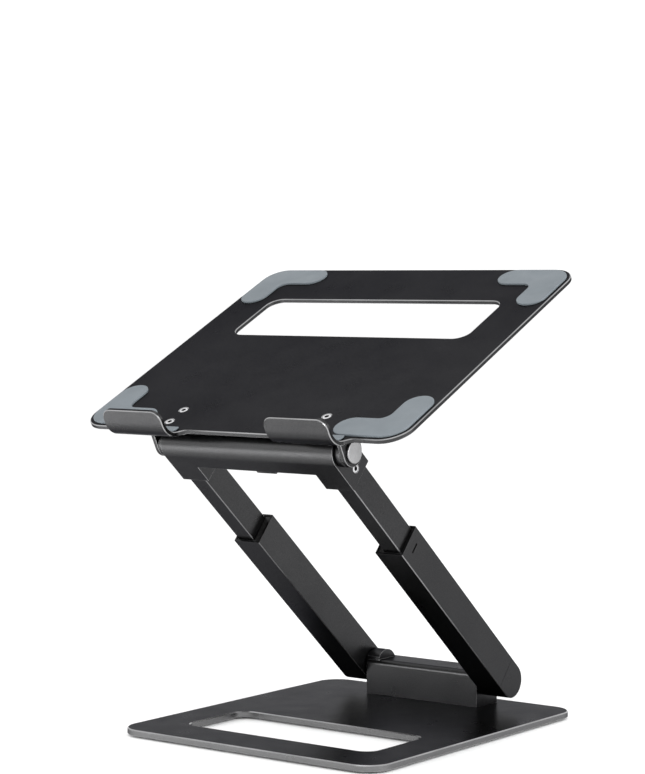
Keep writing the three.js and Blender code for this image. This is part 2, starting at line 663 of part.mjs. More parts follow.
// A corner pad: an L with round ends, drawn for the right front corner and flipped for the others.
function makeCornerPad(side, end) {
  const { margin, width, across, along, outerCorner, innerCorner } = PAD;
  const right = TRAY_HALF_WIDTH - margin;
  const low = TRAY_FRONT + margin;
  const round = width / 2;
  const shape = new THREE.Shape();
  shape.moveTo(right - across + round, low);
  shape.lineTo(right - outerCorner, low);
  shape.absarc(right - outerCorner, low + outerCorner, outerCorner, -Math.PI / 2, 0);
  shape.lineTo(right, low + along - round);
  shape.absarc(right - round, low + along - round, round, 0, Math.PI);
  shape.lineTo(right - width, low + width + innerCorner);
  shape.absarc(right - width - innerCorner, low + width + innerCorner, innerCorner, 0, -Math.PI / 2, true);
  shape.lineTo(right - across + round, low + width);
  shape.absarc(right - across + round, low + round, round, Math.PI / 2, 1.5 * Math.PI);
  let pad = slab(shape, TRAY_TOP + FIXED_GAP, TRAY_TOP + PAD.height, { curve: 4 });
  if (side < 0) pad = pad.mirror([1, 0, 0]);
  const flipped = pad.mirror([0, 1, 0]).translate([0, TRAY_FRONT + TRAY_BACK, 0]);
  return end ? flipped : pad;
}

// A silicone strip that lines the inside of one hook's bend and lip.
function makeLipPad(side) {
  const centre = TRAY_UNDERSIDE + BEND_RADIUS;
  const outer = BEND_RADIUS - TRAY_THICKNESS - FIXED_GAP;
  const inner = outer - LIP_PAD.thickness;
  const flatEnd = TRAY_FRONT + LIP_PAD.flat;
  const strip = new THREE.Shape();
  strip.moveTo(flatEnd, centre - outer);
  strip.lineTo(flatEnd, centre - inner);
  strip.lineTo(TRAY_FRONT, centre - inner);
  strip.absarc(TRAY_FRONT, centre, inner, 1.5 * Math.PI, Math.PI, true);
  strip.lineTo(TRAY_FRONT - inner, TRAY_TOP + LIP_PAD.rise);
  strip.lineTo(TRAY_FRONT - outer, TRAY_TOP + LIP_PAD.rise);
  strip.lineTo(TRAY_FRONT - outer, centre);
  strip.absarc(TRAY_FRONT, centre, outer, Math.PI, 1.5 * Math.PI);
  const from = side * (HOOK.inner + LIP_PAD.inFromEnd);
  const to = side * (HOOK.outer - LIP_PAD.inFromEnd);
  return bar(strip, from, to, { curve: 5 });
}

function makePin(side) {
  const headBottom = LUG.outer + FIXED_GAP;
  const headTop = headBottom + PIN.headHeight;
  const head = bar(disc(0, 0, PIN.headRadius), side * headBottom, side * headTop, {
    chamfer: PIN.chamfer,
    curve: 16,
  });
  return head.add(rod(PIN.radius, side * PIN.inner, side * (headBottom + OVERLAP)));
}

place(tray, "tray", makeTray(), anodised);
for (const [sideName, side] of SIDES) {
  place(tray, `tray_bracket_${sideName}`, makeBracket(side), anodised);
  place(tray, `lip_pad_${sideName}`, makeLipPad(side), silicone);
  place(tray, `tray_pin_${sideName}`, makePin(side), polished);
  const { radius, gap, discs } = PIN_SPRINGS;
  const pinHole = PIN.radius + FIXED_GAP;
  const springs = springStack(radius, pinHole, PIN_NUT.outer + gap, PIN_BUSH.inner - gap, discs);
  place(tray, `pin_springs_${sideName}`, side < 0 ? springs.mirror([1, 0, 0]) : springs, springSteel);
  const nut = bar(hexagon(0, 0, PIN_NUT.radius), side * PIN_NUT.inner, side * PIN_NUT.outer);
  const threadStart = side * (PIN_NUT.inner - OVERCUT);
  const thread = rod(pinHole, threadStart, side * (PIN_NUT.outer + OVERCUT));
  place(tray, `pin_nut_${sideName}`, nut.subtract(thread), springSteel);
  for (const [endName, end] of ENDS) {
    const screw = trayScrewAt(side, end, 0);
    const y = end ? TRAY_SCREW.y : -TRAY_SCREW.y;
    const headTop = TRAY_TOP - TRAY_SCREW.sunk;
    const hex = hexagon(side * TRAY_SCREW.x, y, TRAY_SCREW_SOCKET.radius);
    const socket = slab(hex, headTop - TRAY_SCREW_SOCKET.depth, TRAY_TOP + OVERCUT);
    place(tray, `tray_screw_${endName}_${sideName}`, screw.subtract(socket), polished);
    place(tray, `corner_pad_${endName}_${sideName}`, makeCornerPad(side, end), silicone);
  }
}

export default stand;
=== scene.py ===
# Laptop stand: base plate, hinge block, telescopic arms, yoke and a tilting tray with hooks.
# Shapes are drawn in millimetres in the frame of the part they belong to, then put in place.
import json
import math

import bmesh
import bpy
from mathutils import Matrix, Vector
from mathutils.geometry import tessellate_polygon


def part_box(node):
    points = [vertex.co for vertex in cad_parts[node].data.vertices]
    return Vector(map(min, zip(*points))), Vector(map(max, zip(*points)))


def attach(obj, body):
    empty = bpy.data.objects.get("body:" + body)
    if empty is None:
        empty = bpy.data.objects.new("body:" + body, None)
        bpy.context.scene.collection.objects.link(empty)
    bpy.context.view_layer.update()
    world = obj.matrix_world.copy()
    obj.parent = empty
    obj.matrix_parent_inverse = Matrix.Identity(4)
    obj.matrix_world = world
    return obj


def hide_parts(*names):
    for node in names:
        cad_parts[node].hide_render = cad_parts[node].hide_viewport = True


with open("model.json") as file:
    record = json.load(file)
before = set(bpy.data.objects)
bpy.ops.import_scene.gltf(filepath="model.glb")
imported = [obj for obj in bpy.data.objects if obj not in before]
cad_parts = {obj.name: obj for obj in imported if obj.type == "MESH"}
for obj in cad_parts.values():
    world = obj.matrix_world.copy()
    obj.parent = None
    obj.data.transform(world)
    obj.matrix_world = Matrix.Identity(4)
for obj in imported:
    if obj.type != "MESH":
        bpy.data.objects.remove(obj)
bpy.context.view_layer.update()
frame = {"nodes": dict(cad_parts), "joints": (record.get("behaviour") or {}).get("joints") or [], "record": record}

# ---- sizes, in millimetres ----

MM = 0.001
SIDES = (("left", -1), ("right", 1))
ENDS = ("front", "rear")
# The clearance round a piece, how far cutters run past, and how deep joined shapes overlap.
GAP = 0.15
OVERCUT = 1
OVERLAP = 4

BASE_WIDTH = 240
BASE_DEPTH = 273
BASE_CORNER = 20
BASE_CHAMFER = 0.8
WINDOW = {"half": 87, "front": 40.2, "back": 111, "corner": 11}
FOOT = {"length": 38.0, "width": 11.0, "from_side": 25, "from_end": 13}

PLATE_BOTTOM = 1.3
PLATE_TOP = 6.3
AXIS_BACK = 242
BLOCK = {"half": 53.5, "front": 229.8, "back": 259.5, "top": 34.9}
BLOCK_ROUND = {"front": 4.5, "back": 2, "edges": 0.45}
EAR = {"inner": 42, "radius": 13.4, "front": 231.5}
BLOCK_BORE = 5.15
BLOCK_SCREW = {"x": 36, "rows": (236, 253), "shank": 2.5, "head": 4.6, "deep": 2.2, "sunk": 0.3, "top": 17}
BLOCK_SOCKET = {"socket_radius": 2.0, "socket_depth": 1.3}

ARM_INNER = 54.83
ARM_OUTER = 79.35
ARM_HALF_DEPTH = 13.46
ARM_EDGE = 0.55
ARM_BORE_CORNER = 0.5
ARM_CUT_ROUND = 0.2
SLEEVE = {"wall": 1.6, "bottom": 12.3, "top": 188.5}
TUBE = {"inner": 61.3, "outer": 76.5, "half_depth": 10.9, "wall": 1.8, "bottom": 96, "top": 286}
COLLAR = {"bottom": 168.5, "fit": 0.105, "play": 0.2, "recess": 0.6, "corner": 0.7, "edges": 0.25}
SNAP = {"at": 179, "half_long": 4, "half_high": 0.75, "sunk": 1.0}

YOKE_AXIS = 296
YOKE = {"leg_bottom": 267.5, "web_bottom": 284, "bore": 8.2, "edges": 0.5}
YOKE_TAB = {"from": 0, "to": 18, "front": -13, "back": -5, "drop": 2.4}
YOKE_SCREW = {"at": 276.2, "head": 3.2, "deep": 2.2, "sunk": 0.1, "under": 0.2, "shank": 2, "long": 4.5}
SMALL_SOCKET = {"chamfer": 0.35, "socket_radius": 1.9, "socket_depth": 1.5}
PIN = {"radius": 4, "inner": 52.5, "head": 8.2, "high": 1.9}
PIN_EDGE = {"rim": 0.7, "under": 0.25, "tip": 0.4}
SPACER = {"outer": 84.3, "radius": 11, "edge": 0.35}
LUG = {"inner": 84.6, "outer": 87.8, "radius": 10.8, "shoulder": 4, "edges": 0.35}
LEAF_PLATE = {"inner": 57, "half": 16.5, "thick": 3, "corner": 1.5}

TRAY_TOP = 23.1
TRAY_THICK = 3.5
TRAY_UNDER = TRAY_TOP - TRAY_THICK
TRAY_HALF = 147.1
TRAY_FRONT = -20.1
TRAY_BACK = 244.4
TRAY_CORNER = 20
TRAY_CHAMFER = 0.6
VENT = {"half": 110.3, "front": 129.4, "back": 190.9, "corner": 11}
HOOK = {"inner": 47.1, "outer": 103.3, "reach": 16.5, "high": 23.5, "corner": 8.5, "fillet": 6}
HOOK_LEAD = 0.6
TRAY_SCREW = {"x": 66.4, "y": 8.8, "head": 3.3, "deep": 1.9, "sunk": 0.1, "shank": 1.9}
PAD = {"margin": 3, "width": 24, "across": 60, "along": 58, "outer": 17, "inner": 8}
PAD_HEIGHT = {"low": 0.02, "high": 1.5, "round": 0.55}
LIP_PAD = {"from_end": 3, "thick": 1.2, "flat": 2, "rise": 16, "fit": 0.05, "chamfer": 0.3}

# ---- what counts as an upright or a slanted face, by the parts of its normal ----

UPRIGHT = 0.1
SLANTED = 0.3

# ---- frames of the three moving groups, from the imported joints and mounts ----

joints = {joint["name"]: joint for joint in frame["joints"]}
mounts = {mount["name"]: mount for mount in frame["record"]["mounts"]}


def frame_at(point, normal):
    """Millimetres drawn with +Z along normal, put at a point of the stand, in metres."""
    turn = math.atan2(-normal[1], normal[2])
    return Matrix.Translation(point) @ Matrix.Rotation(turn, 4, "X") @ Matrix.Scale(MM, 4)


BASE = frame_at((0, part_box("base_plate")[0].y, 0), (0, 0, 1))
ARM = frame_at(joints["base_hinge"]["pos_m"], joints["arm_extension"]["axis"])
TRAY = frame_at(joints["tray_tilt"]["pos_m"], mounts["tray_face"]["axis"])

# ---- materials ----

# Noise seldom leaves this range, so it is spread from here to the whole of a tint or a finish.
THIN_CLOUD = 0.3
THICK_CLOUD = 0.7


def node(tree, kind, inputs=None, **settings):
    made = tree.nodes.new(kind)
    for key, value in settings.items():
        setattr(made, key, value)
    for key, value in (inputs or {}).items():
        if isinstance(value, bpy.types.NodeSocket):
            tree.links.new(value, made.inputs[key])
        else:
            made.inputs[key].default_value = value
    return made


def cloud(tree, place, scale, detail, stretch=None):
    """Noise of about 1 / scale metres, from 0 to 1."""
    if stretch:
        place = node(tree, "ShaderNodeMapping", {"Vector": place, "Scale": stretch}).outputs[0]
    made = node(tree, "ShaderNodeTexNoise", {"Vector": place, "Scale": scale, "Detail": detail})
    return made.outputs["Fac"]


def between(tree, value, low, high):
    inputs = {"Value": value, 1: THIN_CLOUD, 2: THICK_CLOUD, 3: low, 4: high}
    return node(tree, "ShaderNodeMapRange", inputs).outputs[0]


def tint(tree, value, dark, light):
    ramp = node(tree, "ShaderNodeValToRGB", {"Fac": value})
    stops = zip(ramp.color_ramp.elements, (THIN_CLOUD, THICK_CLOUD), (dark, light))
    for stop, position, color in stops:
        stop.position = position
        stop.color = (*color, 1)
    return ramp.outputs["Color"]


def bump(tree, height, strength, distance, under=None):
    inputs = {"Height": height, "Strength": strength, "Distance": distance}
    if under:
        inputs["Normal"] = under
    return node(tree, "ShaderNodeBump", inputs).outputs[0]


def new_material(name):
    material = bpy.data.materials.new(name)
    material.use_nodes = True
    tree = material.node_tree
    tree.nodes.clear()
    place = node(tree, "ShaderNodeTexCoord").outputs["Object"]
    shader = node(tree, "ShaderNodeBsdfPrincipled")
    node(tree, "ShaderNodeOutputMaterial", {"Surface": shader.outputs[0]})
    return material, tree, place, shader


def dress(tree, shader, color, roughness, normal, **constants):
    tree.links.new(color, shader.inputs["Base Color"])
    tree.links.new(roughness, shader.inputs["Roughness"])
    tree.links.new(normal, shader.inputs["Normal"])
    for key, value in constants.items():
        shader.inputs[key.replace("_", " ")].default_value = value


def blasted_anodising(name, dark, light, smooth, rough):
    """Bead-blasted, dyed aluminium: fine grain, a faint cloudiness and rubbed patches."""
    material, tree, place, shader = new_material(name)
    broad = cloud(tree, place, 14, 3)
    rubbed = cloud(tree, place, 45, 4)
    grain = cloud(tree, place, 1300, 2)
    beads = cloud(tree, place, 3800, 1)
    faint = node(tree, "ShaderNodeMath", {0: broad, 1: 0.3}, operation="MULTIPLY").outputs[0]
    mottle = node(tree, "ShaderNodeMath", {0: grain, 1: 0.7, 2: faint}, operation="MULTIPLY_ADD")
    color = tint(tree, mottle.outputs[0], dark, light)
    roughness = between(tree, rubbed, smooth, rough)
    normal = bump(tree, beads, 0.3, 0.00008, bump(tree, grain, 0.16, 0.00014))
    # A grey specular tint dims reflections at grazing angles: painted shade, standing in for surroundings darker
    # than the white room.
    grazing_shade = (0.36, 0.36, 0.37, 1)
    dress(tree, shader, color, roughness, normal, Metallic=1.0, Specular_Tint=grazing_shade)
    return material


def diamond_cut(name, dark, light, smooth, rough):
    """A lighter metal for edges, with fine tool marks: chamfers cut bright after anodising, and on the arms, yoke,
    block, end caps and brackets a painted highlight along the edges.
    """
    material, tree, place, shader = new_material(name)
    marks = cloud(tree, place, 900, 3, (1, 1, 0.25))
    smudge = cloud(tree, place, 30, 3)
    color = tint(tree, smudge, dark, light)
    roughness = between(tree, smudge, smooth, rough)
    dress(tree, shader, color, roughness, bump(tree, marks, 0.1, 0.00005), Metallic=1.0)
    return material


def moulded(name, dark, light, smooth, rough, specular=0.5, grain=0.2):
    """Moulded plastic or rubber: spark-eroded grain, faint flow clouds and dull patches."""
    material, tree, place, shader = new_material(name)
    flow = cloud(tree, place, 25, 3)
    patches = cloud(tree, place, 70, 4)
    spark = cloud(tree, place, 2200, 2)
    color = tint(tree, flow, dark, light)
    roughness = between(tree, patches, smooth, rough)
    normal = bump(tree, spark, grain, 0.0001)
    dress(tree, shader, color, roughness, normal, Specular_IOR_Level=specular)
    return material


def turned_steel(name, dark, light, smooth, rough):
    """Turned or drawn metal: fine lines round or along the piece, and handling marks."""
    material, tree, place, shader = new_material(name)
    lines = cloud(tree, place, 700, 3, (0.15, 1, 1))
    handled = cloud(tree, place, 60, 4)
    color = tint(tree, handled, dark, light)
    roughness = between(tree, lines, smooth, rough)
    dress(tree, shader, color, roughness, bump(tree, lines, 0.12, 0.00006), Metallic=1.0)
    return material


ANODISED = blasted_anodising("blasted_anodising", (0.038, 0.038, 0.039), (0.062, 0.062, 0.063), 0.27, 0.33)
# A lighter copy of the anodising for the base plate's upright rim faces: painted light, standing in for the light
# the plate's sides catch.
RIM_LIGHT_PAINT = blasted_anodising("milled_rim", (0.15, 0.15, 0.152), (0.2, 0.2, 0.202), 0.2, 0.28)
CUT_EDGE = diamond_cut("diamond_cut_edge", (0.26, 0.26, 0.265), (0.38, 0.38, 0.385), 0.22, 0.32)
# A lighter metal on the edges of arms, yoke, block, end caps and brackets: a painted highlight standing in for the
# light those edges catch.
EDGE_HIGHLIGHT_PAINT = diamond_cut("rubbed_edge", (0.25, 0.25, 0.255), (0.33, 0.33, 0.335), 0.32, 0.42)
BLACK_PLASTIC = moulded("black_plastic", (0.006, 0.006, 0.006), (0.012, 0.012, 0.012), 0.38, 0.52)
SILICONE = moulded("blue_grey_silicone", (0.125, 0.145, 0.16), (0.155, 0.178, 0.196), 0.5, 0.66, 0.4, 0.12)
FOOT_RUBBER = moulded("foot_rubber", (0.012, 0.012, 0.013), (0.024, 0.024, 0.025), 0.7, 0.88, 0.3, 0.35)
STAINLESS = turned_steel("stainless", (0.52, 0.52, 0.53), (0.66, 0.66, 0.67), 0.2, 0.34)
SATIN_CAP = turned_steel("satin_cap", (0.27, 0.27, 0.275), (0.36, 0.36, 0.365), 0.26, 0.38)
# Near-black for the walls and floor of the screw sockets: painted shade inside the recess, not a part of its own.
SOCKET_SHADE_PAINT = moulded("socket_black", (0.003, 0.003, 0.003), (0.006, 0.006, 0.006), 0.6, 0.8, 0.2, 0.2)
ZINC_STEEL = turned_steel("zinc_steel", (0.2, 0.2, 0.21), (0.34, 0.34, 0.35), 0.3, 0.5)
BRONZE = turned_steel("sintered_bronze", (0.3, 0.2, 0.09), (0.44, 0.3, 0.14), 0.35, 0.55)

# ---- outlines and solids ----


def arc(x, y, radius, start, end, steps):
    """Points round an arc, from one angle to another in degrees."""
    angles = [math.radians(start + (end - start) * i / steps) for i in range(steps + 1)]
    return [(x + radius * math.cos(a), y + radius * math.sin(a)) for a in angles]


def rounded(x0, y0, x1, y1, radius, steps):
    """A rectangle with round corners, anticlockwise."""
    left, right = sorted((x0, x1))
    return (
        arc(left + radius, y0 + radius, radius, 180, 270, steps)
        + arc(right - radius, y0 + radius, radius, 270, 360, steps)
        + arc(right - radius, y1 - radius, radius, 0, 90, steps)
        + arc(left + radius, y1 - radius, radius, 90, 180, steps)
    )


def circle(x, y, radius, steps):
    return arc(x, y, radius, 0, 360, steps)[:-1]


def hole(outline):
    """A hole's outline runs clockwise."""
    return outline[::-1]


def moved_in(outline, inset):
    """The outline moved into the material, which lies on its left."""
    if inset == 0:
        return outline
    moved = []
    for i, (x, y) in enumerate(outline):
        before = Vector((x - outline[i - 1][0], y - outline[i - 1][1])).normalized()
        after_point = outline[(i + 1) % len(outline)]
        after = Vector((after_point[0] - x, after_point[1] - y)).normalized()
        reach = inset / (1 + before.dot(after))
        moved.append((x - (before.y + after.y) * reach, y + (before.x + after.x) * reach))
    return moved


def flat_rims(low, high, chamfer):
    return [(chamfer, low), (0, low + chamfer), (0, high - chamfer), (chamfer, high)]


def round_top(low, high, radius, steps):
    turn = arc(-radius, high - radius, radius, 0, 90, steps)
    return [(0, low)] + [(-out, height) for out, height in turn]


def solid(name, outlines, layers, across=False, cut_rims=False):
    """A solid through layers of (inset, height), drawn in X and Y and built up Z. With across,
    it is drawn in Y and Z and built along X. cut_rims gives its chamfers the second material."""
    shape = bmesh.new()
    rings = []
    for outline in outlines:
        rows = [[shape.verts.new((x, y, height)) for x, y in moved_in(outline, inset)]
                for inset, height in layers]
        rings.append(rows)
        for level, (lower, upper) in enumerate(zip(rows, rows[1:])):
            sloped = cut_rims and layers[level][0] != layers[level + 1][0]
            for i, corner in enumerate(lower):
                after = (i + 1) % len(lower)
                face = shape.faces.new((corner, lower[after], upper[after], upper[i]))
                face.material_index = int(sloped)
    for level, upwards in ((0, False), (-1, True)):
        loops = [rows[level] for rows in rings]
        corners = [corner for loop in loops for corner in loop]
        for triangle in tessellate_polygon([[corner.co for corner in loop] for loop in loops]):
            a, b, c = (corners[i] for i in triangle)
            faces_up = (b.co - a.co).cross(c.co - a.co).z > 0
            shape.faces.new((a, b, c) if faces_up == upwards else (c, b, a))
    if across:
        for corner in shape.verts:
            corner.co = Vector((corner.co.z, corner.co.x, corner.co.y))
    return made_object(name, shape)


def made_object(name, shape):
    mesh = bpy.data.meshes.new(name)
    shape.to_mesh(mesh)
    shape.free()
    piece = bpy.data.objects.new(name, mesh)
    bpy.context.scene.collection.objects.link(piece)
    return piece


def box(name, x0, x1, y0, y1, z0, z1):
    left, right = sorted((x0, x1))
    outline = [(left, y0), (right, y0), (right, y1), (left, y1)]
    return solid(name, [outline], [(0, z0), (0, z1)])


def rod(name, radius, x0, x1, y, z, steps):
    ends = sorted((x0, x1))
    return solid(name, [circle(y, z, radius, steps)], [(0, x) for x in ends], across=True)


def turned(name, profile, steps=72):
    """A closed profile of (radius, x) turned about the X axis."""
    shape = bmesh.new()
    rows = []
    for i in range(steps):
        angle = 2 * math.pi * i / steps
        rows.append([shape.verts.new((x, r * math.cos(angle), r * math.sin(angle))) for r, x in profile])
    for i, row in enumerate(rows):
        after = rows[(i + 1) % steps]
        for j in range(len(profile)):
            k = (j + 1) % len(profile)
            shape.faces.new((row[j], row[k], after[k], after[j]))
    bmesh.ops.remove_doubles(shape, verts=shape.verts, dist=1e-5)
    bmesh.ops.recalc_face_normals(shape, faces=shape.faces)
    return made_object(name, shape)


def settle(piece):
    """The piece's modifiers made part of its mesh."""
    bpy.context.view_layer.update()
    graph = bpy.context.evaluated_depsgraph_get()
    mesh = bpy.data.meshes.new_from_object(piece.evaluated_get(graph), depsgraph=graph)
    piece.modifiers.clear()
    piece.data = mesh
    return piece


def with_mesh(piece, work):
    shape = bmesh.new()
    shape.from_mesh(piece.data)
    work(shape)
    shape.to_mesh(piece.data)
    shape.free()
    return piece


def combine(piece, others, operation):
    for other in others:
        modifier = piece.modifiers.new(operation.lower(), "BOOLEAN")
        modifier.operation = operation
        modifier.solver = "EXACT"
        modifier.object = other
    settle(piece)
    for other in others:
        bpy.data.objects.remove(other)
    return with_mesh(piece, clean)


def clean(shape):
    """Corners that coincide joined, and flat faces made whole."""
    nearly_flat = math.radians(0.4)
    bmesh.ops.remove_doubles(shape, verts=shape.verts, dist=1e-4)
    bmesh.ops.dissolve_limit(shape, angle_limit=nearly_flat, verts=shape.verts, edges=shape.edges)


def soften(piece, width, angle, edge=None):
    """A small round on every edge sharper than the angle, of another material if one is given."""
    if edge:
        paint(piece, ANODISED, edge)
    modifier = piece.modifiers.new("soften", "BEVEL")
    modifier.width = width
    modifier.segments = 2
    modifier.limit_method = "ANGLE"
    modifier.angle_limit = math.radians(angle)
    modifier.miter_outer = "MITER_ARC"
    modifier.material = 1 if edge else -1
    return settle(piece)


def trim(piece, height):
    """Everything above a height cut off, and the cut closed."""

    def cut(shape):
        everything = [*shape.verts, *shape.edges, *shape.faces]
        made = bmesh.ops.bisect_plane(shape, geom=everything, plane_co=(0, 0, height),
                                      plane_no=(0, 0, 1), clear_outer=True)
        edges = [g for g in made["geom_cut"] if isinstance(g, bmesh.types.BMEdge)]
        bmesh.ops.contextual_create(shape, geom=edges)

    return with_mesh(piece, cut)


def mirrored(piece):
    def flip(shape):
        for corner in shape.verts:
            corner.co.x = -corner.co.x
        bmesh.ops.reverse_faces(shape, faces=shape.faces)

    return with_mesh(piece, flip)


def paint(piece, *materials):
    """The materials in the piece's slots. Its faces keep their material numbers."""
    slots = piece.data.materials
    for i, material in enumerate(materials):
        if i < len(slots):
            slots[i] = material
        else:
            slots.append(material)


def finished(piece, place, body, materials, nodes):
    """The piece put in place in metres, shaded, and given to its body."""
    paint(piece, *materials)
    piece.data.transform(place)
    piece.data.shade_smooth()
    piece.data.set_sharp_from_angle(angle=math.radians(32))
    modifier = piece.modifiers.new("even", "WEIGHTED_NORMAL")
    modifier.keep_sharp = True
    modifier.weight = 90
    settle(piece)
    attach(piece, body)
    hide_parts(*nodes)
    return piece


# ---- geometry node trees ----


def new_tree(name, sizes):
    """A tree with one named input for each size, and one for the material."""
    tree = bpy.data.node_groups.new(name, "GeometryNodeTree")
    tree.interface.new_socket("Places", in_out="INPUT", socket_type="NodeSocketGeometry")
    for label, value in sizes.items():
        kind = {int: "NodeSocketInt", float: "NodeSocketFloat", tuple: "NodeSocketRotation"}[type(value)]
        socket = tree.interface.new_socket(label, in_out="INPUT", socket_type=kind)
        socket.default_value = value
    tree.interface.new_socket("Material", in_out="INPUT", socket_type="NodeSocketMaterial")
    tree.interface.new_socket("Solid", in_out="OUTPUT", socket_type="NodeSocketGeometry")
    return tree, tree.nodes.new("NodeGroupInput").outputs


def ending(tree, geometry, material, kept=None):
    """Everything made real and given the material, but for faces of a kept one."""
    inputs = {"Geometry": node(tree, "GeometryNodeRealizeInstances", {0: geometry}).outputs[0],
              "Material": material}
    if kept:
        is_kept = node(tree, "GeometryNodeMaterialSelection", {"Material": kept}).outputs[0]
        inputs["Selection"] = node(tree, "FunctionNodeBooleanMath", {0: is_kept}, operation="NOT").outputs[0]
    node(tree, "NodeGroupOutput", {0: node(tree, "GeometryNodeSetMaterial", inputs).outputs[0]})
    return tree


def maths(tree, operation, first, second):
    return node(tree, "ShaderNodeMath", {0: first, 1: second}, operation=operation).outputs[0]


def joined(tree, *parts):
    made = node(tree, "GeometryNodeJoinGeometry")
    for part in parts:
        tree.links.new(part, made.inputs[0])
    return made.outputs[0]


def raised(tree, geometry, height, x=0.0):
    vector = node(tree, "ShaderNodeCombineXYZ", {"X": x, "Z": height}).outputs[0]
    return node(tree, "GeometryNodeTransform", {"Geometry": geometry, "Translation": vector}).outputs[0]


def welded(tree, geometry):
    return node(tree, "GeometryNodeMergeByDistance", {"Geometry": geometry, "Distance": 0.002}).outputs[0]


def extruded(tree, outline, length):
    """A closed outline filled, and raised to a closed solid."""
    face = node(tree, "GeometryNodeFillCurve", {0: outline}, mode="TRIANGLES").outputs[0]
    upwards = node(tree, "ShaderNodeCombineXYZ", {"Z": 1.0}).outputs[0]
    inputs = {"Mesh": face, "Offset": upwards, "Offset Scale": length, "Individual": False}
    walls = node(tree, "GeometryNodeExtrudeMesh", inputs, mode="FACES").outputs[0]
    under = node(tree, "GeometryNodeFlipFaces", {0: face}).outputs[0]
    return welded(tree, joined(tree, walls, under))


def cornered(tree, width, depth, corner, count):
    """A rectangle whose corners are cut off or rounded."""
    outline = node(tree, "GeometryNodeCurvePrimitiveQuadrilateral", {"Width": width, "Height": depth})
    inputs = {"Curve": outline.outputs[0], "Count": count, "Radius": corner}
    return node(tree, "GeometryNodeFilletCurve", inputs, mode="POLY").outputs[0]


def drawn_tube_tree():
    """A drawn box tube with its long edges cut at 45 degrees, and a hole that may sit off centre."""
    sizes = {"Width": 24.0, "Depth": 26.0, "Corner": 0.5, "Hole Width": 20.0, "Hole Depth": 22.0,
             "Hole Corner": 0.5, "Hole Shift": 0.0, "Length": 100.0}
    tree, size = new_tree("drawn_tube", sizes)
    outside = cornered(tree, size["Width"], size["Depth"], size["Corner"], 1)
    inside = cornered(tree, size["Hole Width"], size["Hole Depth"], size["Hole Corner"], 3)
    section = joined(tree, outside, raised(tree, inside, 0.0, size["Hole Shift"]))
    return ending(tree, extruded(tree, section, size["Length"]), size["Material"])


def socket_screw_tree():
    """Flat-headed hexagon-socket screws, one at each place, with their tops at the place."""
    sizes = {"Head Radius": 3.0, "Head Height": 2.0, "Chamfer": 0.3, "Socket Radius": 1.4,
             "Socket Depth": 1.3, "Shank Radius": 2.0, "Shank Length": 5.0, "Turn": (0.0, 0.0, 0.0)}
    tree, size = new_tree("socket_screw", sizes)
    sides, shank_sides, hexagon = 40, 24, 6

    def ring(radius, count):
        inputs = {"Radius": radius, "Resolution": count}
        return node(tree, "GeometryNodeCurvePrimitiveCircle", inputs).outputs[0]

    def lid(radius, count, drop):
        inputs = {"Radius": radius, "Vertices": count}
        plain = node(tree, "GeometryNodeMeshCircle", inputs, fill_type="NGON").outputs[0]
        return raised(tree, plain, maths(tree, "MULTIPLY", drop, -1.0))

    def wall(radius, depth, count, drop, fill="NONE"):
        inputs = {"Vertices": count, "Radius": radius, "Depth": depth}
        plain = node(tree, "GeometryNodeMeshCylinder", inputs, fill_type=fill).outputs[0]
        middle = maths(tree, "MULTIPLY", depth, -0.5)
        return raised(tree, plain, maths(tree, "SUBTRACT", middle, drop))

    flat = maths(tree, "SUBTRACT", size["Head Radius"], size["Chamfer"])
    face = joined(tree, ring(flat, sides), ring(size["Socket Radius"], hexagon))
    top = node(tree, "GeometryNodeFillCurve", {0: face}, mode="TRIANGLES").outputs[0]
    inputs = {"Vertices": sides, "Radius Top": flat, "Radius Bottom": size["Head Radius"],
              "Depth": size["Chamfer"]}
    slope = node(tree, "GeometryNodeMeshCone", inputs, fill_type="NONE").outputs[0]
    slope = raised(tree, slope, maths(tree, "MULTIPLY", size["Chamfer"], -1.0))
    straight = maths(tree, "SUBTRACT", size["Head Height"], size["Chamfer"])
    head = wall(size["Head Radius"], straight, sides, size["Chamfer"])
    under = lid(size["Head Radius"], sides, size["Head Height"])
    socket = wall(size["Socket Radius"], size["Socket Depth"], hexagon, 0.0)
    floor = lid(size["Socket Radius"], hexagon, size["Socket Depth"])
    shank = wall(size["Shank Radius"], size["Shank Length"], shank_sides, size["Head Height"], "NGON")
    # The socket walls and floor take the near-black: painted shade in the recess.
    inputs = {"Geometry": joined(tree, socket, floor), "Material": SOCKET_SHADE_PAINT}
    hollow = node(tree, "GeometryNodeSetMaterial", inputs).outputs[0]
    screw = joined(tree, welded(tree, joined(tree, top, slope, head, under, hollow)), shank)
    inputs = {"Points": size["Places"], "Instance": screw, "Rotation": size["Turn"]}
    placed = node(tree, "GeometryNodeInstanceOnPoints", inputs).outputs[0]
    return ending(tree, placed, size["Material"], SOCKET_SHADE_PAINT)


